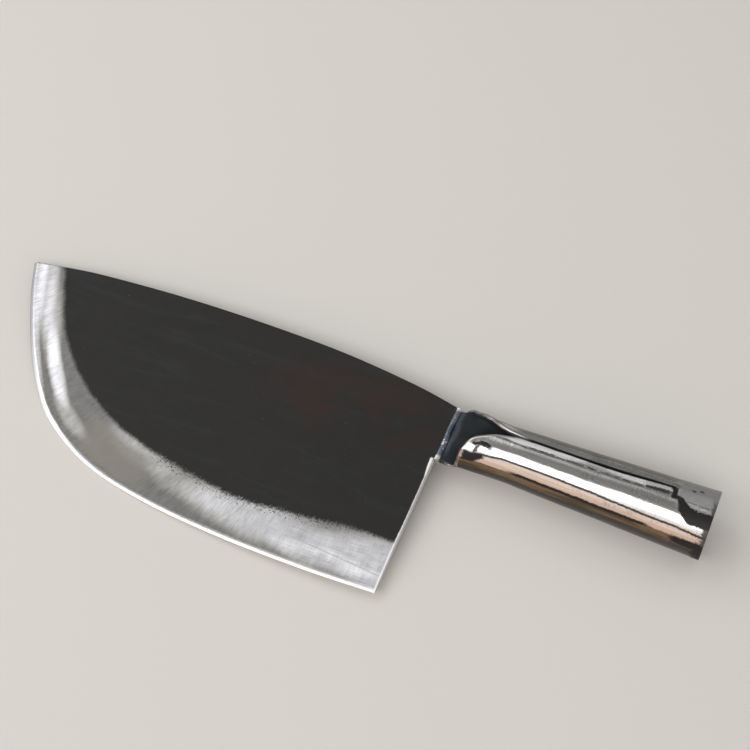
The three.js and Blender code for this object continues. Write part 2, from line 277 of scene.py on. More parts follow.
def build_blade(finish):
    points, half, from_grind, from_edge, from_spine, shares = blade_grid()
    x, y = points[..., 0], points[..., 1]
    from_heel = HEEL_TOP[0] - x
    arris = np.minimum(ARRIS, half * 0.45)
    wall = np.minimum(from_spine, from_heel)
    fallen = rounded(np.minimum(wall, 10), arris) * np.clip((from_edge - 0.3) / 1.5, 0, 1)
    settled = np.clip(wall / 4, 0, 1) * np.clip(from_edge / 8, 0, 1)
    on_flat = np.clip(-from_grind / 3, 0, 1)
    along = np.broadcast_to(shares[:, None], x.shape) * edge_line.length
    sides = []
    for side, seed in ((1, 3), (-1, 8)):
        hammered = waves(x, y, seed, (26, 20)) * 0.6 + waves(x, y, seed + 1, (9, 8)) * 0.4
        ground = waves(along, from_edge, seed + 2, (17, 9))
        lift = settled * mix(ground * GRIND_WAVE, hammered * HAMMER_DEPTH, on_flat)
        sides.append(np.stack([x, y, side * (half - fallen + lift)], -1))
    rings = np.concatenate([sides[0], sides[1][:, ::-1]], 1)

    def both(values):
        return np.concatenate([values, values[:, ::-1]], 1).ravel()

    labels = {"from_grind": both(from_grind), "from_edge": both(from_edge), "along_edge": both(along),
              "from_wall": both(wall), "from_heel": both(from_heel)}
    faces = ring_faces(*rings.shape[:2])
    return make_piece("ground_blade", rings.reshape(-1, 3), faces, labels, finish, "blade_steel", "blade")


# ---- Rolled handle shape ----

TUBE_RADIUS_AT_HEEL = 11.5
TUBE_TAPER = 0.0315
SHEET = 2.4
WEB_START = 3.7             # where the web begins, behind the neck weld
SEAM_END = 103.0            # beyond it the seam is welded shut
TUBE_WAVE = 0.07            # depth of the shallow dents of the hand-rolled tube

spine_flare = profile([[3, -0.2], [6, 0.4], [9, 1.5], [12.5, 2], [34, 0]])
edge_flare = profile([[6, 3], [11, 2.1], [34, 0]])
back_sink = profile([[6, 0], [30, 1]])
squareness = profile([[5, 9], [16, 3], [28, 2]])
wall_inset = profile([[8.5, 0], [12, SHEET / 2]])
seam_angle = profile([[36, 20.3], [75, 17.7], [103, 21.5]])
edge_flank = profile([[10, 70], [11, 112], [12.4, 132], [14.3, 147], [19.4, 161.5], [25, 173], [36, 180]])
spine_flank = profile([[4, 110], [11, 126], [16, 145], [20.5, 156], [24, 166], [29, 173.5], [42, 180]])
seam_half = profile([[36, 0.22], [60, 0.14], [73, 0.3], [84, 0.26], [97, 0.12], [SEAM_END, 0.015]])
lip_radius = profile([[24, SHEET / 2], [36, 0.4], [98, 0.3], [SEAM_END, 0.05]])


def tube_radius(x):
    return TUBE_RADIUS_AT_HEEL + TUBE_TAPER * x


def section(x, degrees):
    """The middle of the sheet at a station, at angles from the middle of the back, towards the spine."""
    angle = np.radians(degrees)
    flare = np.where(degrees > 0, spine_flare(x), edge_flare(x))
    half_width = tube_radius(x) + flare - wall_inset(x)
    on_back = np.abs(degrees) < 90
    power = np.where(on_back, 2 / squareness(x), 1)
    front = tube_radius(x) - SHEET / 2
    depth = np.where(on_back, front * back_sink(x), front)

    def bend(value):
        return np.sign(value) * np.abs(value) ** power

    return np.stack([half_width * bend(np.sin(angle)), -depth * bend(np.cos(angle))], -1)


def resample(line, count_or_runs):
    """Points along a polyline at even steps, or at given runs."""
    run = np.concatenate([[0], np.cumsum(np.hypot(*np.diff(line, axis=0).T))])
    runs = count_or_runs
    if np.isscalar(runs):
        runs = np.linspace(0, run[-1], runs)
    return np.stack([np.interp(runs, run, line[:, k]) for k in (0, 1)], -1), run[-1]


def softened(line, reach):
    """The polyline with its tight corners eased over a reach in mm, its two ends kept."""
    fine, length = resample(line, 500)
    step = length / 499
    width = max(int(3 * reach / step), 1)
    kernel = np.exp(-0.5 * (np.arange(-width, width + 1) * step / reach) ** 2)
    kernel /= kernel.sum()
    padded = np.concatenate([2 * fine[0] - fine[width:0:-1], fine, 2 * fine[-1] - fine[-2:-width - 2:-1]])
    return np.stack([np.convolve(padded[:, k], kernel, "valid") for k in (0, 1)], -1)


def handle_stations():
    return np.concatenate([
        WEB_START + np.array([0, 0.05, 0.15, 0.3, 0.5]),
        np.arange(4.7, 9.2, 0.5), np.arange(9.4, 13.2, 0.09), np.arange(13.2, 17, 0.25),
        np.arange(17.2, 44, 0.55), np.arange(44.5, 119.6, 0.85),
        HANDLE_LENGTH - np.array([0.7, 0.45, 0.28, 0.15, 0.06, 0]),
    ])


def handle_runs(length, columns=104):
    """Distances along a section at which the sheet gets a column, close together at both free edges."""
    near = np.array([0, 0.03, 0.1, 0.2, 0.33, 0.5, 0.72, 0.98, 1.3])
    middle = np.linspace(near[-1], length - near[-1], columns)[1:-1]
    return np.concatenate([near, middle, (length - near)[::-1]])


def handle_middle():
    """The middle surface of the sheet, its stations and the angle of each point round the tube."""
    rows = []
    for x in handle_stations():
        shown = np.clip((x - 9) / 4, 0, 1)
        gap = math.degrees(float(seam_half(x)) / tube_radius(x)) * shown
        low = gap - edge_flank(x) - seam_angle(x)
        high = spine_flank(x) - seam_angle(x) - gap
        line = softened(section(x, np.linspace(low, high, 1400)), 0.25 + 0.75 * np.clip((x - 7) / 6, 0, 1))
        line, _ = resample(line, handle_runs(resample(line, 2)[1]))
        rows.append(np.c_[np.full(len(line), x), line])
    return np.array(rows)


def distance_to_line(points, line):
    """The distance of each point from a polyline in space."""
    best = np.full(len(points), np.inf)
    for a, b in zip(line[:-1], line[1:]):
        span = b - a
        t = np.clip((points - a) @ span / max(span @ span, 1e-12), 0, 1)
        best = np.minimum(best, np.linalg.norm(points - a - t[:, None] * span, axis=1))
    return best


def build_handle(finish):
    middle = handle_middle()
    x = middle[..., 0]
    angle = np.degrees(np.arctan2(middle[..., 1], middle[..., 2]))
    wave = waves(x, angle / 5, 21, (38, 13)) + 0.35 * waves(x, angle / 5, 22, (11, 6))
    along = np.gradient(middle, axis=0)
    across = np.gradient(middle, axis=1)
    normal = np.cross(across, along)
    normal /= np.linalg.norm(normal, axis=-1, keepdims=True)
    if (normal[-1] * middle[-1] * [0, 1, 1]).sum() < 0:
        normal = -normal
    flat = middle.reshape(-1, 3)
    free_edges = [distance_to_line(flat, middle[:, k]).reshape(x.shape) for k in (0, -1)]
    half = np.full(x.shape, SHEET / 2)
    for distance, radius in ((free_edges[0], lip_radius(x)), (free_edges[1], lip_radius(x)),
                             (HANDLE_LENGTH - x, 0.45), (x - WEB_START, 0.3)):
        half = np.minimum(half, SHEET / 2 - rounded(distance, radius))
    dented = TUBE_WAVE * np.minimum(wave - 1.2, 0)
    swell = (dented * np.clip((x - 6) / 12, 0, 1) * np.clip((HANDLE_LENGTH - x) / 3, 0, 1)
             * np.clip(np.minimum(*free_edges) / 2, 0.15, 1))
    outer = middle + normal * (half + swell)[..., None]
    inner = middle + normal * (swell - half)[..., None]
    rings = np.concatenate([outer, inner[:, ::-1]], 1)

    def both(outside, inside):
        return np.concatenate([outside, inside[:, ::-1]], 1).ravel()

    edge = np.minimum(*free_edges)
    labels = {"inside": both(np.zeros_like(x), np.ones_like(x)), "from_free_edge": both(edge, edge),
              "round_angle": both(angle, angle)}
    faces = ring_faces(*rings.shape[:2])
    return make_piece("rolled_tube_handle", rings.reshape(-1, 3), faces, labels, finish, "handle_steel",
                      "rolled_handle")


# ---- Finishes ----

class Wire:
    """A socket of a finish. Sums, products and powers of it add the Math nodes that work them out."""

    def __init__(self, finish, socket):
        self.finish = finish
        self.socket = socket

    def __add__(self, other):
        return self.finish.math("ADD", self, other)

    def __sub__(self, other):
        return self.finish.math("SUBTRACT", self, other)

    def __rsub__(self, other):
        return self.finish.math("SUBTRACT", other, self)

    def __mul__(self, other):
        return self.finish.math("MULTIPLY", self, other)

    def __truediv__(self, other):
        return self.finish.math("DIVIDE", self, other)

    def __rtruediv__(self, other):
        return self.finish.math("DIVIDE", other, self)

    def __pow__(self, other):
        return self.finish.math("POWER", self, other)

    def __neg__(self):
        return self.finish.math("MULTIPLY", self, -1)

    __radd__ = __add__
    __rmul__ = __mul__


class Finish:
    """A material or world, built from nodes."""

    def __init__(self, owner):
        owner.use_nodes = True
        self.owner = owner
        self.tree = owner.node_tree
        self.tree.nodes.clear()

    def add(self, kind, settings=None, values=None, output=0):
        """Adds one node. settings are its own choices, and values go to its inputs by name or number."""
        node = self.tree.nodes.new(kind)
        for name, choice in (settings or {}).items():
            if name == "stops":
                ramp = node.color_ramp
                for place, _ in choice[len(ramp.elements):]:
                    ramp.elements.new(place)
                for element, (place, colour) in zip(ramp.elements, choice):
                    element.position, element.color = place, (*colour, 1)
            else:
                setattr(node, name, choice)
        for name, value in (values or {}).items():
            if isinstance(value, Wire):
                self.tree.links.new(value.socket, node.inputs[name])
            else:
                node.inputs[name].default_value = value
        return Wire(self, node.outputs[output]) if len(node.outputs) else node

    def math(self, operation, *values):
        return self.add("ShaderNodeMath", {"operation": operation}, dict(enumerate(values)))

    def step(self, value, low, high):
        """0 below low, 1 above high and smooth between. With low above high it falls instead."""
        if low > high:
            return 1 - self.step(value, high, low)
        return self.add("ShaderNodeMapRange", {"interpolation_type": "SMOOTHSTEP"},
                        {"Value": value, "From Min": low, "From Max": high})

    def between(self, value, low, high, soft):
        return self.step(value, low - soft, low + soft) * self.step(value, high + soft, high - soft)

    def stretch(self, vector, factors):
        return self.add("ShaderNodeVectorMath", {"operation": "MULTIPLY"}, {0: vector, 1: factors})

    def combine(self, x, y, z):
        return self.add("ShaderNodeCombineXYZ", None, {0: x, 1: y, 2: z})

    def noise(self, vector, scale=1.0, detail=3.0, rough=0.55, twist=0.0):
        return self.add("ShaderNodeTexNoise", None, {"Vector": vector, "Scale": scale, "Detail": detail,
                                                     "Roughness": rough, "Distortion": twist})

    def blend(self, factor, first, second, kind="MIX"):
        first, second = [value if isinstance(value, Wire) else (*value, 1) for value in (first, second)]
        node = self.tree.nodes.new("ShaderNodeMix")
        node.data_type = "RGBA"
        node.blend_type = kind
        for socket, value in zip([node.inputs[0], node.inputs[6], node.inputs[7]], [factor, first, second]):
            if isinstance(value, Wire):
                self.tree.links.new(value.socket, socket)
            else:
                socket.default_value = value
        return Wire(self, node.outputs[2])

    def label(self, name):
        return self.add("ShaderNodeAttribute", {"attribute_name": name}, None, output=2)

    def knife_place(self):
        """The place in the knife's own frame, in mm, with its three parts."""
        coordinates = self.add("ShaderNodeTexCoord", None, None, output=3)
        place = self.add("ShaderNodeMapping", {"vector_type": "TEXTURE"}, {
            "Vector": coordinates, "Location": ORIGIN, "Rotation": AXES.to_euler(), "Scale": (MM, MM, MM)})
        parts = [self.add("ShaderNodeSeparateXYZ", None, {0: place}, output=k) for k in range(3)]
        return place, parts

    def steel(self, colour, roughness, metallic, height, depth, **fixed):
        """Ends the finish in one Principled surface, with height in 0..1 standing for depth in mm."""
        bump = self.add("ShaderNodeBump", None, {"Height": height, "Distance": depth * MM})
        values = {"Base Color": colour, "Roughness": roughness, "Metallic": metallic, "Normal": bump}
        values.update({name.replace("_", " "): value for name, value in fixed.items()})
        shader = self.add("ShaderNodeBsdfPrincipled", None, values)
        self.add("ShaderNodeOutputMaterial", None, {"Surface": shader})
        return self.owner


SCALE_BLACK = (0.0135, 0.0130, 0.0120)
SCALE_BLUE = (0.0160, 0.0172, 0.0190)
SCALE_RUST = (0.0240, 0.0118, 0.0090)
GROUND_WARM = (1.0, 0.985, 0.950)
GROUND_COOL = (0.985, 0.985, 1.020)
PAINTED_HIGHLIGHT_WHITE = (0.97, 0.97, 0.98)

# Soft ovals of painted reflected light on the ground bevel. Each has its middle along the blade
# and in from the edge, half its length and half its width, all in mm, and the brightness that it adds.
BEVEL_DULL = 0.17
BEVEL_GLINTS = [
    (-218, 4, 24, 5, 0.36),
    (-208, 8.5, 20, 7, 0.32),
    (-194, 2, 18, 3, 0.32),
    (-192, 11, 16, 6, 0.24),
    (-179, 10.5, 17, 4.5, 0.48),
    (-162, 8.5, 18, 4.5, 0.20),
    (-122, 20, 24, 9, 0.20),
    (-94, 15, 26, 8, 0.14),
    (-60, 14, 44, 12, 0.32),
    (-28, 7, 28, 6, 0.32),
    (-4, 14.5, 36, 11, 0.40),
    (-2, 5, 18, 5, 0.38),
]


def bevel_tone(f, x, from_edge):
    """Ground bevel brightness: dull steel, painted glints of reflected light, a painted sheen by the edge."""
    tone = BEVEL_DULL + 0.07 * f.step(x, -95, -45)
    # Each oval adds painted reflected light.
    for along, inward, half_length, half_width, gain in BEVEL_GLINTS:
        run = (x - along) / half_length
        rise = (from_edge - inward) / half_width
        tone = tone + gain * f.step(run * run + rise * rise, 1, 0)
    # A painted sheen of reflected light along the edge.
    sheen = 0.25 + 0.35 * f.between(x, -196, -156, 10)
    return tone + sheen * f.step(from_edge, 2.6, 1.4)


def blade_finish():
    """Black forge scale on the flats, a bevel ground across its width, an edge and heel with painted
    highlights.
    """
    f = Finish(bpy.data.materials.new("forge_scale_and_ground_steel"))
    place, (x, y, _) = f.knife_place()
    from_grind, from_edge = f.label("from_grind"), f.label("from_edge")
    from_wall, from_heel, along = f.label("from_wall"), f.label("from_heel"), f.label("along_edge")

    # Strokes run across the edge round the belly, and along it near the heel.
    strokes_across = f.noise(f.combine(along * 2.6, from_edge * 0.16, 0.0), 1, 4, 0.65, 0.3)
    strokes_long = f.noise(f.combine(along * 0.10, from_edge * 2.4, 3.0), 1, 4, 0.6, 0.2)
    near_heel = f.step(x, -75, -30)
    strokes = strokes_across * (1 - near_heel * 0.6) + strokes_long * near_heel * 0.6
    coarse = f.noise(f.combine(along * 0.30, from_edge * 0.14, 7.0), 1, 3, 0.6)

    # The feathered line where the scale was ground away, with pits left just past it.
    hairs = f.noise(f.combine(along * 0.95, from_edge * 0.50, 1.0), 1, 5, 0.75)
    drift = f.noise(f.combine(along * 0.09, 0.0, 5.0), 1, 2, 0.5)
    ragged = 0.8 + 1.1 * f.between(x, -118, -16, 14)
    ground_line = from_grind + (hairs - 0.5) * 4.0 * ragged + (drift - 0.5) * 2.2
    bare = f.step(ground_line, -0.7, 1.7)
    pits = f.step(f.noise(place, 1.25, 3, 0.7), 0.56, 0.64)
    pit_zone = f.between(x, -120, -20, 9) * f.step(from_grind, 6.5, 1.5)
    bare = bare * (1 - pits * pit_zone * 0.9)
    worn_spine = f.step(from_wall + (f.noise(place, 0.5, 4, 0.7) - 0.5) * 0.9, 0.42, 0.12) * 0.45
    # The bare heel wall below the neck, painted white as its highlight, widened where that highlight is broad.
    below_neck = f.step(y, -14.0, -15.2)
    heel_reach = from_heel - 0.85 * f.step(y, -26, -17) - 0.35 * f.step(y, -44, -62)
    bare_heel_with_painted_highlight = f.step(heel_reach + (f.noise(place, 0.8, 3, 0.6) - 0.5) * 0.5, 0.85, 0.40) * below_neck
    bare = f.math("MAXIMUM", f.math("MAXIMUM", bare, worn_spine), bare_heel_with_painted_highlight)

    # Scale: nearly black, with faint bluish streaks along the blade, a rusty cast by the neck and specks.
    streaks = f.noise(f.stretch(place, (0.02, 0.16, 0.16)), 1, 4, 0.65, 0.6)
    scale = f.blend(f.step(streaks, 0.46, 0.72) * 0.8, SCALE_BLACK, SCALE_BLUE)
    rusty = f.noise(f.stretch(place, (0.035, 0.06, 0.06)), 1, 3, 0.6)
    rust_zone = f.between(x, -78, 2, 24) * f.between(y, -18, 12, 11)
    scale = f.blend(rust_zone * f.step(rusty, 0.36, 0.6) * 0.85, scale, SCALE_RUST)
    rust_spots = f.step(f.noise(place, 0.16, 4, 0.7), 0.60, 0.72)
    scale = f.blend(rust_spots * 0.45, scale, SCALE_RUST)
    specks = f.step(f.noise(place, 0.8, 2, 0.5), 0.715, 0.78)
    scale = f.blend(specks * 0.5, scale, (0.065, 0.06, 0.052))
    handled = f.noise(place, 0.055, 5, 0.65, 0.3)
    scale = f.blend(1.0, scale, f.blend(handled, (0.70, 0.70, 0.70), (1.34, 1.34, 1.34)), "MULTIPLY")

    # Ground steel: bands of painted reflected light across the bevel, broken up by the strokes of the wheel.
    tone = bevel_tone(f, x, from_edge + (coarse - 0.5) * 1.5)
    warmth = f.step(tone, 0.34, 0.60)
    ground = f.blend(1.0, f.blend(warmth, GROUND_WARM, GROUND_COOL), tone, "MULTIPLY")
    brown = f.between(x, -150, -116, 5) * f.step(from_edge + coarse * 2.5, 2.5, 6.0)
    brown = brown * f.step(from_grind + coarse * 3, 4.0, 8.0)
    ground = f.blend(brown * 0.8, ground, (0.188, 0.175, 0.155))
    grain = f.step(strokes * 0.7 + coarse * 0.3, 0.34, 0.66)
    grained = f.blend(1.0, ground, f.blend(grain, (0.76, 0.76, 0.765), (1.22, 1.22, 1.22)), "MULTIPLY")
    ground = f.blend(brown * 0.75, grained, ground)
    heel_line = f.between(y + (x + 40) * 0.055 + (coarse - 0.5) * 0.8, -70.5, -69.9, 0.3)
    heel_line = heel_line * f.step(x, -46, -30)
    ground = f.blend(heel_line * 0.4, ground, (0.30, 0.29, 0.28))
    dark_pits = f.step(f.noise(f.stretch(place, (1.3, 1.7, 1.5)), 1, 2, 0.6), 0.655, 0.72)
    ground = f.blend(dark_pits * 0.4 * f.step(from_grind, 9, 1), ground, (0.08, 0.075, 0.07))
    # The honed edge, whitened by a painted highlight along most of the blade and greyer near the tip.
    edge_width = 1.3 + 0.6 * f.between(x, -190, -160, 6)
    edge = f.step(edge_width - from_edge + (coarse - 0.5) * 0.5, -0.3, 0.3)
    edge_highlight_colour = f.blend(f.step(x, -170, -205), PAINTED_HIGHLIGHT_WHITE, (0.50, 0.50, 0.52))
    ground = f.blend(edge, ground, edge_highlight_colour)
    ground = f.blend(bare_heel_with_painted_highlight, ground, PAINTED_HIGHLIGHT_WHITE)
    ground = f.blend(worn_spine, ground, (0.24, 0.25, 0.27))

    scale_rough = 0.52 + 0.10 * handled - 0.05 * f.step(streaks, 0.5, 0.7)
    ground_rough = 0.36 + 0.14 * strokes - 0.10 * edge - 0.05 * brown
    roughness = scale_rough * (1 - bare) + ground_rough * bare
    # The heel wall's painted highlight is mostly not metallic, so it lights up white.
    metallic = bare * 0.97 - bare_heel_with_painted_highlight * 0.75
    grit = f.noise(place, 1.9, 4, 0.65)
    skin = f.noise(place, 0.34, 5, 0.6, 0.2)
    scale_height = 0.5 * skin + 0.2 * grit + 0.5
    ground_height = strokes * 0.22 + coarse * 0.06
    height = scale_height * (1 - bare) + ground_height * bare * (1 - brown * 0.6)
    colour = f.blend(bare, scale, ground)
    return f.steel(colour, roughness, metallic, height, 0.16, Specular_IOR_Level=0.30)


TUBE_LIGHT = (0.80, 0.79, 0.775)
TUBE_GREY = (0.50, 0.49, 0.48)
TUBE_SOOT_AND_DARK_REFLECTION = (0.016, 0.015, 0.015)
TUBE_REFLECTED_BOARD_BROWN = (0.225, 0.152, 0.085)
TUBE_INSIDE = (0.020, 0.024, 0.031)


def handle_finish():
    """Hand-polished sheet, wavy and bright, blackened by welding in the seam and at the butt, with painted
    reflections and shade along its sides and behind the neck.
    """
    f = Finish(bpy.data.materials.new("hand_polished_rolled_steel"))
    place, (x, y, _) = f.knife_place()
    inside, free, angle = f.label("inside"), f.label("from_free_edge"), f.label("round_angle")

    lengthwise = f.noise(f.stretch(place, (0.035, 0.75, 0.75)), 1, 4, 0.6, 0.15)
    fine = f.noise(f.stretch(place, (0.10, 3.2, 3.2)), 1, 3, 0.6)
    cross = f.noise(f.stretch(place, (1.0, 0.25, 0.25)), 1, 3, 0.65, 0.2)
    blotch = f.noise(f.stretch(place, (0.05, 0.11, 0.11)), 1, 4, 0.6, 0.4) - 0.5
    ragged = f.noise(f.stretch(place, (0.30, 0.42, 0.42)), 1, 4, 0.7, 0.5) - 0.5
    nicks = f.noise(f.stretch(place, (2.4, 0.5, 0.5)), 1, 3, 0.7) - 0.5
    teeth = (cross - 0.5) * 4.0 + nicks * 10.0

    def most(*masks):
        worst = masks[0]
        for mask in masks[1:]:
            worst = f.math("MAXIMUM", worst, mask)
        return worst

    # Painted reflections: a pink band, the brown bench along the lower side, painted shade darkest beneath,
    # and a darker far side.
    colour = f.blend(f.step(lengthwise, 0.42, 0.70) * 0.45, TUBE_LIGHT, TUBE_GREY)
    film = f.step(blotch + 0.9 * nicks, 0.00, 0.16) * f.step(x, 30, 62)
    colour = f.blend(film * 0.8, colour, TUBE_GREY)
    # A painted pink reflection of the room along the lower flank.
    colour = f.blend(f.step(angle, -49.5, -52.5) * 0.9, colour, (0.80, 0.63, 0.53))
    # Painted reflection of the brown bench along the lower side, with darker streaks in it.
    low_side_board_reflection = f.step(angle + teeth * 0.5 + blotch * 5, -58.0, -61) * f.step(angle, -150, -120)
    colour = f.blend(low_side_board_reflection * 0.95, colour, TUBE_REFLECTED_BOARD_BROWN)
    board_reflection_streaks = f.step(lengthwise + 0.25 * blotch, 0.44, 0.60)
    colour = f.blend(low_side_board_reflection * board_reflection_streaks * 0.6, colour, (0.050, 0.038, 0.026))
    # Painted reflection of the shade beneath the tube, darkest at the bottom, made less metallic.
    underneath_shade_reflection = f.step(angle + blotch * 8, -71, -79) * f.step(angle, -165, -140)
    shade_reflection_colour = f.blend(f.step(fine, 0.35, 0.65), (0.028, 0.027, 0.026), (0.058, 0.056, 0.053))
    colour = f.blend(underneath_shade_reflection * 0.97, colour, shade_reflection_colour)
    # Painted darker reflection on the far side, with a dark one along its edge.
    far_side_dark_reflection = f.step(angle + teeth * 0.4, 33, 39) * f.step(angle, 150, 120)
    far_side_dark_reflection = far_side_dark_reflection * (1 - 0.35 * f.step(x, 98, 107))
    far_side_dark_reflection = far_side_dark_reflection * (0.35 + 0.65 * f.step(x + blotch * 6, 24, 36))
    colour = f.blend(far_side_dark_reflection * 0.93, colour, (0.105, 0.100, 0.093))
    far_edge_dark_reflection = f.between(angle + blotch * 10, 46, 56, 3)
    colour = f.blend(far_edge_dark_reflection * 0.6, colour, (0.045, 0.043, 0.040))

    # Painted dark reflections: a jagged line, a narrow line and a dashed line along the tube.
    jag_dark_reflection = f.between(angle + teeth * 0.75 + blotch * 4 + 1.3 * f.step(x, 58, 76), -61.6, -55.0, 0.6)
    jag_dark_reflection = jag_dark_reflection * f.step(x, 30, 38) * f.step(x + cross * 8, 103, 98)
    # A narrow painted dark reflection between the bright band and the pink one.
    thin_place = angle + 36.0 + 6.5 * f.step(x, 48, 105) + 2.5 * f.step(x, 106, 118)
    thin_place = thin_place + 5.5 * f.step(x, 32, 23) + teeth * 0.55 + blotch * 4
    thin_place = thin_place / (0.55 + 0.9 * lengthwise)
    thin_dark_reflection = f.between(thin_place, -2.0, 2.0, 0.7) * f.step(x, 18, 21)
    # A dashed painted dark reflection near the seam.
    dash_rise = 4.6 * f.step(x, 84, 98)
    dash_gaps = f.step(f.noise(f.stretch(place, (0.12, 0, 0)), 1, 2, 0.5), 0.40, 0.47)
    dash_gaps = dash_gaps * (1 - f.between(x, 70, 80, 1.5))
    dash_place = (angle - 3.8 - dash_rise + teeth * 0.7 + blotch * 5) / (1 + dash_rise * 0.35)
    dark_reflection_dashes = f.between(dash_place, -1.5, 1.5, 0.5)
    dark_reflection_dashes = dark_reflection_dashes * dash_gaps * f.step(x, 36, 41) * f.step(x, 103, 101)

    # The black patches left by the welds at the butt, and painted dark reflections behind the neck.
    burnt = angle + ragged * 9 + nicks * 7
    lean = x + ragged * 3 + nicks * 1.2
    seam_end = f.between(lean + 0.06 * angle, 102.0, 105.0, 0.5) * f.between(burnt, 0, 21.5, 1.5)
    patch_start = x - 104.0 + 0.13 * angle + ragged * 4 + nicks * 2
    patch_top = burnt + 11.0 * f.step(x, 106, 113)
    patch = f.step(patch_start, -0.5, 0.8) * f.between(patch_top - 5.0 * f.step(x, 110, 104), -21, 4.0, 1.5)
    low_patch = f.step(x + ragged * 9, 105.5, 108.5) * f.between(burnt, -74, -58, 2)
    low_corner = f.step(x + ragged * 6, 115.5, 117.5) * f.between(burnt, -110, -56, 4)
    rim = f.step(x + ragged * 5, 118.2, 119.4) * f.step(angle, 30, 0)
    # Painted dark reflections on the flank behind the neck, joined by a grey link.
    neck_low_dark_reflection = f.between(lean, 12.6, 22.5, 1.0) * f.step(burnt, -39.5, -42)
    neck_low_dark_reflection = neck_low_dark_reflection * f.between(burnt - 13.0 * f.step(x, 16.5, 22.5), -64, -44, 2.5)
    neck_link_dark_reflection = f.between(lean - 0.06 * (angle + 34), 17.4, 19.0, 0.5) * f.between(angle, -46, -22, 1) * 0.9
    neck_high_dark_reflection = f.between(lean, 15.2, 24.5, 1.2)
    neck_high_dark_reflection = neck_high_dark_reflection * f.between(burnt - 4.0 * f.step(x, 16, 20), -28.5, -21.5, 1.5)
    neck_tail_dark_reflection = f.between(lean, 18.0, 24.5, 1.2)
    neck_tail_dark_reflection = neck_tail_dark_reflection * f.between(burnt + 3.0 * f.step(x, 21, 25), -25.0, -14.0, 1.5)
    # Weld blackening at the butt, together with the painted dark reflections.
    soot_and_dark_reflection = most(jag_dark_reflection, thin_dark_reflection * 0.96, dark_reflection_dashes * 0.95, seam_end, patch, low_patch, low_corner, rim * 0.9,
                neck_low_dark_reflection, neck_link_dark_reflection, neck_high_dark_reflection, neck_tail_dark_reflection) * (1 - inside)
    lip = f.step(free, 1.6, 0.9) * f.step(x, 36, 30)
    soot_and_dark_reflection = soot_and_dark_reflection * (1 - lip)
    lip_grey = f.blend(f.step(angle, -20, 10), (0.42, 0.36, 0.31), (0.36, 0.355, 0.345))
    colour = f.blend(lip * 0.75, colour, lip_grey)
    in_seam = f.step(free + ragged * 0.5, 0.75, 0.35) * f.step(x, 30, 40) * f.step(x, 104, 102)
    butt_grey = f.step(lean, 103.5, 105.5) * f.between(angle, 3.5, 66, 3) * (1 - inside)
    colour = f.blend(butt_grey * 0.8, colour, f.blend(cross, (0.20, 0.20, 0.195), (0.34, 0.34, 0.335)))
    # One near-black colour for weld blackening and painted dark reflections.
    colour = f.blend(soot_and_dark_reflection, colour, TUBE_SOOT_AND_DARK_REFLECTION)
    colour = f.blend(inside * 0.97, colour, TUBE_INSIDE)
    # Heat-blue strip behind the neck weld, lightened by a painted reflection.
    web_reflection_streak = inside * f.between(x + blotch * 5, 4.4, 6.2, 0.8) * f.step(y + blotch * 8, -13, -5)
    colour = f.blend(web_reflection_streak * 0.6, colour, (0.100, 0.118, 0.155))
    web_light = inside * f.between(x + blotch * 6, 8, 16, 4) * f.step(y, -10, -2)
    colour = f.blend(web_light * 0.6, colour, (0.065, 0.072, 0.080))
    # Painted highlights on the web's top and bottom edges behind the neck.
    web_edge_highlight = inside * f.step(x, 6.5, 4.8) * f.step(y + ragged, 11.3, 12.0)
    web_edge_highlight = most(web_edge_highlight, inside * f.step(y + ragged, -13.8, -14.3) * f.step(ragged, 0.02, 0.10) * 0.8)
    colour = f.blend(web_edge_highlight, colour, (0.85, 0.84, 0.82))
    colour = f.blend(in_seam, colour, (0.010, 0.009, 0.008))
    bright_spot = f.between(x, 114.8, 117.0, 0.5) * f.between(burnt, -4.5, 1.5, 1.5)
    colour = f.blend(bright_spot * 0.9, colour, (0.95, 0.95, 0.94))
    pit = f.step(f.noise(f.stretch(place, (1.0, 1.2, 1.2)), 1, 2, 0.5), 0.735, 0.765)
    pit = most(pit, f.between(x + nicks, 109.2, 110.8, 0.3) * f.between(angle, 24, 29, 1.5),
               f.between(x + nicks, 112.2, 114.0, 0.3) * f.between(angle, 29, 34, 1.5))
    colour = f.blend(pit * 0.85, colour, (0.04, 0.036, 0.032))

    deep = inside * f.step(x, 9, 15)
    roughness = 0.075 + 0.07 * lengthwise + 0.10 * f.step(blotch, 0.0, 0.2) + 0.30 * soot_and_dark_reflection + 0.35 * deep
    roughness = roughness + 0.30 * in_seam + 0.12 * low_side_board_reflection + 0.30 * inside + 0.25 * butt_grey
    metallic = 1 - 0.85 * soot_and_dark_reflection - 0.7 * in_seam * (1 - soot_and_dark_reflection) - 0.6 * deep * (1 - in_seam)
    # Less metallic where painted shade and dark reflections lie, beneath and on the far side.
    grazing = f.step(angle, 42, 60) * f.step(angle, 130, 110) * 0.65 * far_side_dark_reflection
    metallic = metallic - (0.60 * underneath_shade_reflection + 0.45 * butt_grey + grazing) * (1 - soot_and_dark_reflection)
    metallic = f.math("MAXIMUM", metallic, 0.0)
    dents = f.noise(f.stretch(place, (0.06, 0.16, 0.16)), 1, 3, 0.5)
    height = dents * 0.55 + fine * 0.035 + cross * 0.11 - pit * 0.12
    return f.steel(colour, roughness, metallic, height, 0.22, Specular_IOR_Level=0.25)


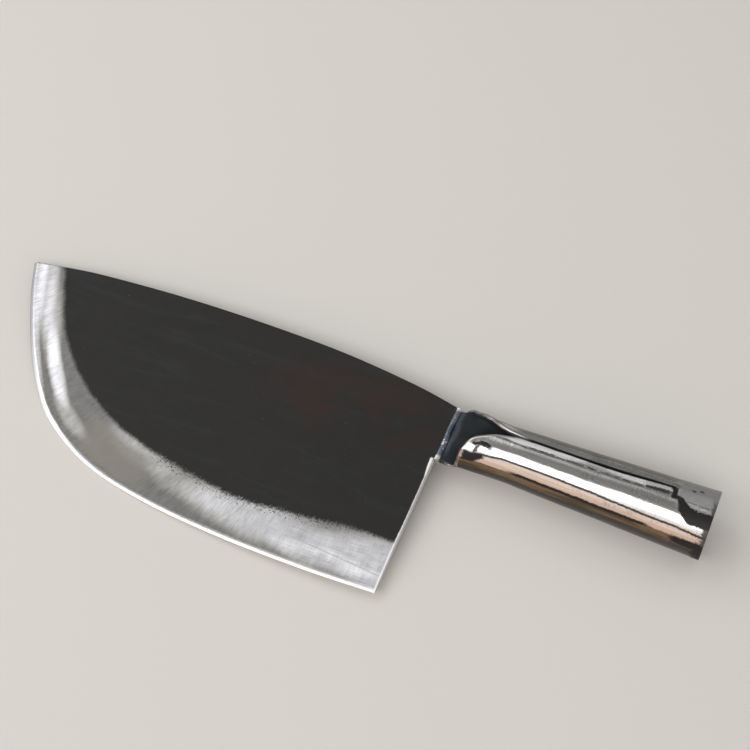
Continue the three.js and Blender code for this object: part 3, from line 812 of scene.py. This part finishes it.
def weld_finish():
    """Weld metal ground nearly flat: blue-grey heat colours, bright where the wheel touched it, whitened
    further by painted highlights at the ends and in flecks.
    """
    f = Finish(bpy.data.materials.new("ground_weld_metal"))
    place, (x, y, _) = f.knife_place()
    crest = f.label("crest")
    heat = f.noise(place, 0.16, 3, 0.6, 0.5)
    flecks = f.noise(place, 0.85, 3, 0.65)
    colour = f.blend(f.step(heat, 0.36, 0.66), (0.115, 0.135, 0.180), (0.210, 0.230, 0.280))
    # Painted highlights: the bead's ground ends and scattered flecks turned near white.
    recoloured = f.math("MAXIMUM", f.step(y, -11.6, -13.2), f.step(y, 10.0, 11.6)) * f.step(x, 60, 40)
    recoloured = f.math("MAXIMUM", recoloured, f.step(flecks + 0.10 * f.between(y, -9, -4, 1.5), 0.60, 0.70) * 0.8)
    colour = f.blend(recoloured, colour, (0.85, 0.84, 0.82))
    colour = f.blend(f.step(crest, 0.35, 0.0) * 0.5, colour, (0.09, 0.10, 0.12))
    roughness = 0.30 + 0.22 * heat - 0.10 * f.step(flecks, 0.58, 0.68)
    grit = f.noise(place, 1.6, 4, 0.6)
    return f.steel(colour, roughness, 0.95, grit * 0.5 + heat * 0.3, 0.10)


def plate_finish():
    """The butt plate: ground round and round, and darker towards its rim."""
    f = Finish(bpy.data.materials.new("turned_butt_plate_steel"))
    place, (x, y, z) = f.knife_place()
    reach = f.math("SQRT", y * y + z * z)
    rings = f.noise(f.combine(reach * 4.0, x * 0.4, 0.0), 1, 4, 0.6)
    scuffs = f.noise(f.stretch(place, (0.2, 0.30, 0.24)), 1, 5, 0.7, 0.8)
    worn = f.step(scuffs * 0.5 + rings * 0.5, 0.38, 0.64)
    colour = f.blend(worn, (0.60, 0.59, 0.575), (0.40, 0.39, 0.375))
    # Darker towards the rim.
    recoloured = f.step(reach + scuffs * 2, 10.5, 13.0)
    colour = f.blend(recoloured * 0.6, colour, (0.16, 0.15, 0.14))
    roughness = 0.26 + 0.18 * scuffs + 0.10 * rings
    return f.steel(colour, roughness, 0.97, rings * 0.35 + scuffs * 0.3, 0.06)


# ---- Weld beads, which follow a path ----

def bead_rule():
    """A rule that lays a rippled bead of weld metal along a path drawn on the bench, crown upwards."""
    rule = bpy.data.node_groups.new("rippled_bead", "GeometryNodeTree")
    sockets = [("Path", "INPUT", "NodeSocketGeometry"), ("Half Width", "INPUT", "NodeSocketFloat"),
               ("Half Height", "INPUT", "NodeSocketFloat"), ("Ripple Spacing", "INPUT", "NodeSocketFloat"),
               ("Ripple Depth", "INPUT", "NodeSocketFloat"), ("Crescent", "INPUT", "NodeSocketFloat"),
               ("Unevenness", "INPUT", "NodeSocketFloat"), ("Seed", "INPUT", "NodeSocketFloat"),
               ("Finish", "INPUT", "NodeSocketMaterial"), ("Bead", "OUTPUT", "NodeSocketGeometry")]
    for name, way, kind in sockets:
        rule.interface.new_socket(name=name, in_out=way, socket_type=kind)
    given = rule.nodes.new("NodeGroupInput")
    result = rule.nodes.new("NodeGroupOutput")

    def node(kind, values=None, **settings):
        made = rule.nodes.new(kind)
        for name, choice in settings.items():
            setattr(made, name, choice)
        for name, value in (values or {}).items():
            if isinstance(value, bpy.types.NodeSocket):
                rule.links.new(value, made.inputs[name])
            else:
                made.inputs[name].default_value = value
        return made

    def number(operation, *values):
        return node("ShaderNodeMath", dict(enumerate(values)), operation=operation).outputs[0]

    def captured(geometry, kind, value, name):
        store = node("GeometryNodeStoreNamedAttribute", {"Geometry": geometry, "Name": name, "Value": value},
                     data_type=kind, domain="POINT")
        return store.outputs[0]

    def named(name, kind):
        return node("GeometryNodeInputNamedAttribute", {"Name": name}, data_type=kind).outputs[0]

    step = number("DIVIDE", given.outputs["Ripple Spacing"], 9.0)
    curve = node("GeometryNodeMeshToCurve", {0: given.outputs["Path"]}).outputs[0]
    curve = node("GeometryNodeResampleCurve", {"Curve": curve, "Length": step}, mode="LENGTH").outputs[0]
    curve = node("GeometryNodeSetCurveNormal", {"Curve": curve}, mode="Z_UP").outputs[0]
    travelled = node("GeometryNodeSplineParameter").outputs["Length"]
    curve = captured(curve, "FLOAT", travelled, "travelled")
    circle = node("GeometryNodeCurvePrimitiveCircle", {"Resolution": 28, "Radius": 1.0}, mode="RADIUS")
    circle = circle.outputs[0]
    circle = captured(circle, "FLOAT_VECTOR", node("GeometryNodeInputPosition").outputs[0], "round_place")
    size = node("ShaderNodeCombineXYZ", {0: given.outputs["Half Width"], 1: given.outputs["Half Height"],
                                         2: 1.0}).outputs[0]
    circle = node("GeometryNodeTransform", {"Geometry": circle, "Scale": size}).outputs[0]
    skin = node("GeometryNodeCurveToMesh", {"Curve": curve, "Profile Curve": circle, "Fill Caps": True})
    skin = skin.outputs[0]
    side = node("ShaderNodeSeparateXYZ", {0: named("round_place", "FLOAT_VECTOR")}).outputs[0]
    bowed = number("MULTIPLY", number("MULTIPLY", side, side), given.outputs["Crescent"])
    turns = number("DIVIDE", named("travelled", "FLOAT"), given.outputs["Ripple Spacing"])
    turns = number("ADD", turns, bowed)
    part = number("SUBTRACT", number("MULTIPLY", number("FRACT", turns), 2.0), 1.0)
    crest = number("SUBTRACT", 1.0, number("MULTIPLY", part, part))
    grain = node("ShaderNodeTexNoise", {"W": given.outputs["Seed"], "Scale": 420.0, "Detail": 2.0},
                 noise_dimensions="4D").outputs[0]
    lift = number("ADD",
                  number("MULTIPLY", number("SUBTRACT", crest, 1.0), given.outputs["Ripple Depth"]),
                  number("MULTIPLY", number("SUBTRACT", grain, 0.6), given.outputs["Unevenness"]))
    outward = node("ShaderNodeVectorMath", {0: node("GeometryNodeInputNormal").outputs[0], "Scale": lift},
                   operation="SCALE").outputs[0]
    skin = captured(skin, "FLOAT", crest, "crest")
    skin = node("GeometryNodeSetPosition", {"Geometry": skin, "Offset": outward}).outputs[0]
    skin = node("GeometryNodeSetShadeSmooth", {"Geometry": skin}).outputs[0]
    skin = node("GeometryNodeRealizeInstances", {"Geometry": skin}).outputs[0]
    skin = node("GeometryNodeSetMaterial", {"Geometry": skin, "Material": given.outputs["Finish"]})
    skin = skin.outputs[0]
    rule.links.new(skin, result.inputs[0])
    return rule


def lay_bead(name, rule, path, closed, place, sizes, finish, slot, node):
    """Lays one bead along a path in mm on the bench, then moves it to its place in the knife's frame."""
    drawn = bpy.data.meshes.new(name + "_path")
    edges = [(i, i + 1) for i in range(len(path) - 1)] + ([(len(path) - 1, 0)] if closed else [])
    drawn.from_pydata([tuple(np.array(point) * MM) for point in path], edges, [])
    guide = bpy.data.objects.new(name + "_guide", drawn)
    bpy.context.scene.collection.objects.link(guide)
    modifier = guide.modifiers.new("bead", "NODES")
    modifier.node_group = rule
    keys = {item.name: item.identifier for item in rule.interface.items_tree if item.in_out == "INPUT"}
    for label, value in sizes.items():
        modifier[keys[label]] = value
    modifier[keys["Finish"]] = finish
    graph = bpy.context.evaluated_depsgraph_get()
    mesh = bpy.data.meshes.new_from_object(guide.evaluated_get(graph))
    guide.modifiers.clear()
    bpy.data.objects.remove(guide)
    mesh.transform(Matrix.Translation(ORIGIN) @ AXES.to_4x4() @ place)
    tidy_mesh(mesh)
    if not len(mesh.materials):
        mesh.materials.append(finish)
    bead = bpy.data.objects.new(name, mesh)
    bpy.context.scene.collection.objects.link(bead)
    return settle(bead, slot, node)


def bench_to_knife(along, across, crown, at):
    """A matrix that lays the bench's x, y and z on three directions of the knife, at a place in mm."""
    turn = Matrix((along, across, crown)).transposed().to_4x4()
    return Matrix.Translation(Vector(at) * MM) @ turn


NECK_BEAD_X = 2.3
NECK_BEAD = {"Half Width": 1.55 * MM, "Half Height": 0.95 * MM, "Ripple Spacing": 1.25 * MM,
             "Ripple Depth": 0.10 * MM, "Crescent": 0.5, "Unevenness": 0.22 * MM}
SEAM_WANDER = 0.12
RING_BEAD_INSET = 0.75
RING_BEAD_DEPTH = 0.78
SEAM_BEAD_SINK = 0.45
SEAM_BEAD = {"Half Width": 1.25 * MM, "Half Height": 0.42 * MM, "Ripple Spacing": 1.1 * MM,
             "Ripple Depth": 0.02 * MM, "Crescent": 0.6, "Unevenness": 0.03 * MM, "Seed": 4.0}
BUTT_BEAD = {"Half Width": 1.1 * MM, "Half Height": 0.75 * MM, "Ripple Spacing": 1.5 * MM,
             "Ripple Depth": 0.12 * MM, "Crescent": 0.7, "Unevenness": 0.12 * MM, "Seed": 9.0}


def build_welds(weld, polished):
    rule = bead_rule()
    span = np.linspace(-14.6, 11.9, 40)
    for name, node, side, seed in (("neck_bead_seam_side", "neck_weld_front", 1, 1.0),
                                   ("neck_bead_back", "neck_weld_back", -1, 2.0)):
        path = [(y, 0.25 * math.sin(y * 0.35 + seed), 0) for y in side * span]
        place = bench_to_knife((0, side, 0), (-1, 0, 0), (0, 0, side), (NECK_BEAD_X, 0, side * 1.1))
        lay_bead(name, rule, path, False, place, {**NECK_BEAD, "Seed": seed}, weld, "weld_steel", node)

    lean = math.radians(float(seam_angle(HANDLE_LENGTH)))
    radius = tube_radius(SEAM_END)
    rise = Vector((1, TUBE_TAPER * math.sin(lean), TUBE_TAPER * math.cos(lean))).normalized()
    side = Vector((0, math.cos(lean), -math.sin(lean)))
    crown = rise.cross(side)
    start = Vector((SEAM_END, radius * math.sin(lean), radius * math.cos(lean))) - crown * SEAM_BEAD_SINK
    runs = np.linspace(-0.6, HANDLE_LENGTH - SEAM_END - 0.3, 30)
    path = [(run, SEAM_WANDER * math.sin(run * 0.8), 0) for run in runs]
    place = bench_to_knife(rise, side, crown, start)
    bead = lay_bead("seam_bead", rule, path, False, place, SEAM_BEAD, polished, "handle_steel", "seam_weld")
    for label, value in (("round_angle", math.degrees(lean)), ("from_free_edge", SHEET)):
        layer = bead.data.attributes.new(label, "FLOAT", "POINT")
        layer.data.foreach_set("value", np.full(len(bead.data.vertices), value, np.float32))

    mouth = tube_radius(HANDLE_LENGTH) - SHEET
    turns = np.linspace(0, 2 * math.pi, 240, endpoint=False)
    ring = mouth - RING_BEAD_INSET
    path = [(ring * math.cos(turn), ring * math.sin(turn), 0) for turn in turns]
    place = bench_to_knife((0, 1, 0), (0, 0, 1), (1, 0, 0), (HANDLE_LENGTH - RING_BEAD_DEPTH, 0, 0))
    lay_bead("butt_ring_bead", rule, path, True, place, BUTT_BEAD, weld, "weld_steel", "butt_weld")


def build_butt_plate(finish):
    """The plug that closes the butt: a slightly crowned disc with a rounded rim, plain on its inner face."""
    reach = tube_radius(HANDLE_LENGTH) - SHEET - 0.4
    face, crown, rim, depth = HANDLE_LENGTH - 0.35, 0.28, 0.5, 3.0
    outline = [(face + crown * (1 - (r / reach) ** 2), r) for r in np.linspace(0, reach - rim, 22)]
    edge_x = outline[-1][0]
    outline += [(edge_x - rim * (1 - math.cos(a)), reach - rim + rim * math.sin(a))
                for a in np.linspace(0, math.pi / 2, 7)[1:]]
    outline += [(face - depth, reach), (face - depth, reach * 0.6), (face - depth, 0)]
    turns = np.linspace(0, 2 * math.pi, 120, endpoint=False)
    points = [(x, r * math.cos(turn), r * math.sin(turn)) for turn in turns for x, r in outline]
    count = len(outline)
    faces = []
    for i in range(len(turns)):
        ahead = (i + 1) % len(turns)
        faces += [(i * count + k, i * count + k + 1, ahead * count + k + 1, ahead * count + k)
                  for k in range(count - 1)]
    points = np.array(points)
    dull = waves(points[:, 1], points[:, 2], 40, (9, 9)) * 0.03
    points[:, 0] = np.minimum(points[:, 0] + dull, HANDLE_LENGTH - 0.02)
    return make_piece("butt_plate", points, faces, {}, finish, "handle_steel", "butt_cap")


# ---- Studio ----

AIM = Vector((0.0058, 0.0516, 0))
VIEW_DISTANCE = 0.64286
VIEW_AZIMUTH = math.radians(-25.756)
VIEW_HEIGHT = math.radians(58.642)
VIEW_ROLL = math.radians(2.197)
SENSOR = 36.0
LENS = 66.745

# Light round the knife by angle from straight up, in degrees, positive towards the spine side.
STUDIO = [
    (-180, (0.30, 0.26, 0.22)), (-97, (0.30, 0.26, 0.22)),
    (-92, (0.84, 0.66, 0.55)), (-61, (0.96, 0.77, 0.66)),
    (-57, (0.05, 0.045, 0.045)), (-52, (0.05, 0.045, 0.045)),
    (-48.5, (1.7, 1.7, 1.7)), (-30, (1.7, 1.7, 1.7)),
    (-21, (0.26, 0.255, 0.245)), (4, (0.22, 0.22, 0.215)),
    (11, (0.46, 0.46, 0.46)), (17, (0.48, 0.48, 0.48)),
    (20, (0.10, 0.10, 0.10)), (27, (0.10, 0.10, 0.10)),
    (31, (0.80, 0.80, 0.80)), (46, (0.62, 0.62, 0.63)),
    (60, (0.24, 0.24, 0.24)), (90, (0.20, 0.20, 0.20)),
    (180, (0.30, 0.26, 0.22)),
]
BRIGHTEST = 4.0
SOFTBOXES = [
    ("overhead_softbox", (-0.30, -0.75, 1.00), 1.6, 0.8, 4.0),
    ("tip_side_softbox", (-0.80, 0.22, 1.15), 0.9, 1.0, 4.2),
]


def build_camera():
    level = Vector((math.sin(VIEW_AZIMUTH), math.cos(VIEW_AZIMUTH), 0))
    forward = level * math.cos(VIEW_HEIGHT) - Vector((0, 0, math.sin(VIEW_HEIGHT)))
    right = forward.cross(Vector((0, 0, 1))).normalized()
    up = right.cross(forward)
    turned_right = right * math.cos(VIEW_ROLL) - up * math.sin(VIEW_ROLL)
    turned_up = turned_right.cross(forward)
    data = bpy.data.cameras.new("bench_camera")
    data.sensor_width = SENSOR
    data.lens = LENS
    data.clip_start = 0.01
    camera = bpy.data.objects.new("bench_camera", data)
    camera.matrix_world = (Matrix.Translation(AIM - forward * VIEW_DISTANCE)
                           @ Matrix((turned_right, turned_up, -forward)).transposed().to_4x4())
    bpy.context.scene.collection.objects.link(camera)
    bpy.context.scene.camera = camera


def build_light():
    world = bpy.data.worlds.new("soft_studio")
    bpy.context.scene.world = world
    w = Finish(world)
    way = w.add("ShaderNodeTexCoord")
    across, up = [w.add("ShaderNodeSeparateXYZ", None, {0: way}, output=k) for k in (1, 2)]
    lean = w.math("ARCTAN2", across, up) / (2 * math.pi) + 0.5
    stops = [((angle + 180) / 360, tuple(part / BRIGHTEST for part in colour)) for angle, colour in STUDIO]
    colour = w.add("ShaderNodeValToRGB", {"stops": stops}, {0: lean})
    glow = w.add("ShaderNodeBackground", None, {"Color": colour, "Strength": BRIGHTEST})
    plain = w.add("ShaderNodeBackground", None, {"Color": (0.86, 0.85, 0.83, 1), "Strength": 1.0})
    seen = w.add("ShaderNodeLightPath", None, None, output=0)
    both = w.add("ShaderNodeMixShader", None, {0: seen, 1: glow, 2: plain})
    w.add("ShaderNodeOutputWorld", None, {"Surface": both})

    for name, spot, width, depth, power in SOFTBOXES:
        data = bpy.data.lights.new(name, "AREA")
        data.shape, data.size, data.size_y, data.energy = "RECTANGLE", width, depth, power
        lamp = bpy.data.objects.new(name, data)
        lamp.location = spot
        lamp.rotation_euler = (AIM - lamp.location).to_track_quat("-Z", "Y").to_euler()
        bpy.context.scene.collection.objects.link(lamp)


def build_floor():
    f = Finish(bpy.data.materials.new("pale_bench_top"))
    pale = {"Base Color": (0.74, 0.715, 0.67, 1), "Roughness": 0.85}
    shader = f.add("ShaderNodeBsdfPrincipled", None, pale)
    f.add("ShaderNodeOutputMaterial", None, {"Surface": shader})
    mesh = bpy.data.meshes.new("bench_top")
    reach = 14.0
    mesh.from_pydata([(-reach, -reach, 0), (reach, -reach, 0), (reach, reach, 0), (-reach, reach, 0)], [],
                     [(0, 1, 2, 3)])
    mesh.materials.append(f.owner)
    floor = bpy.data.objects.new("bench_top", mesh)
    bpy.context.scene.collection.objects.link(floor)


bpy.context.scene.view_settings.view_transform = "Standard"
build_camera()
build_light()
build_floor()
polished = handle_finish()
build_blade(blade_finish())
build_handle(polished)
build_welds(weld_finish(), polished)
build_butt_plate(plate_finish())
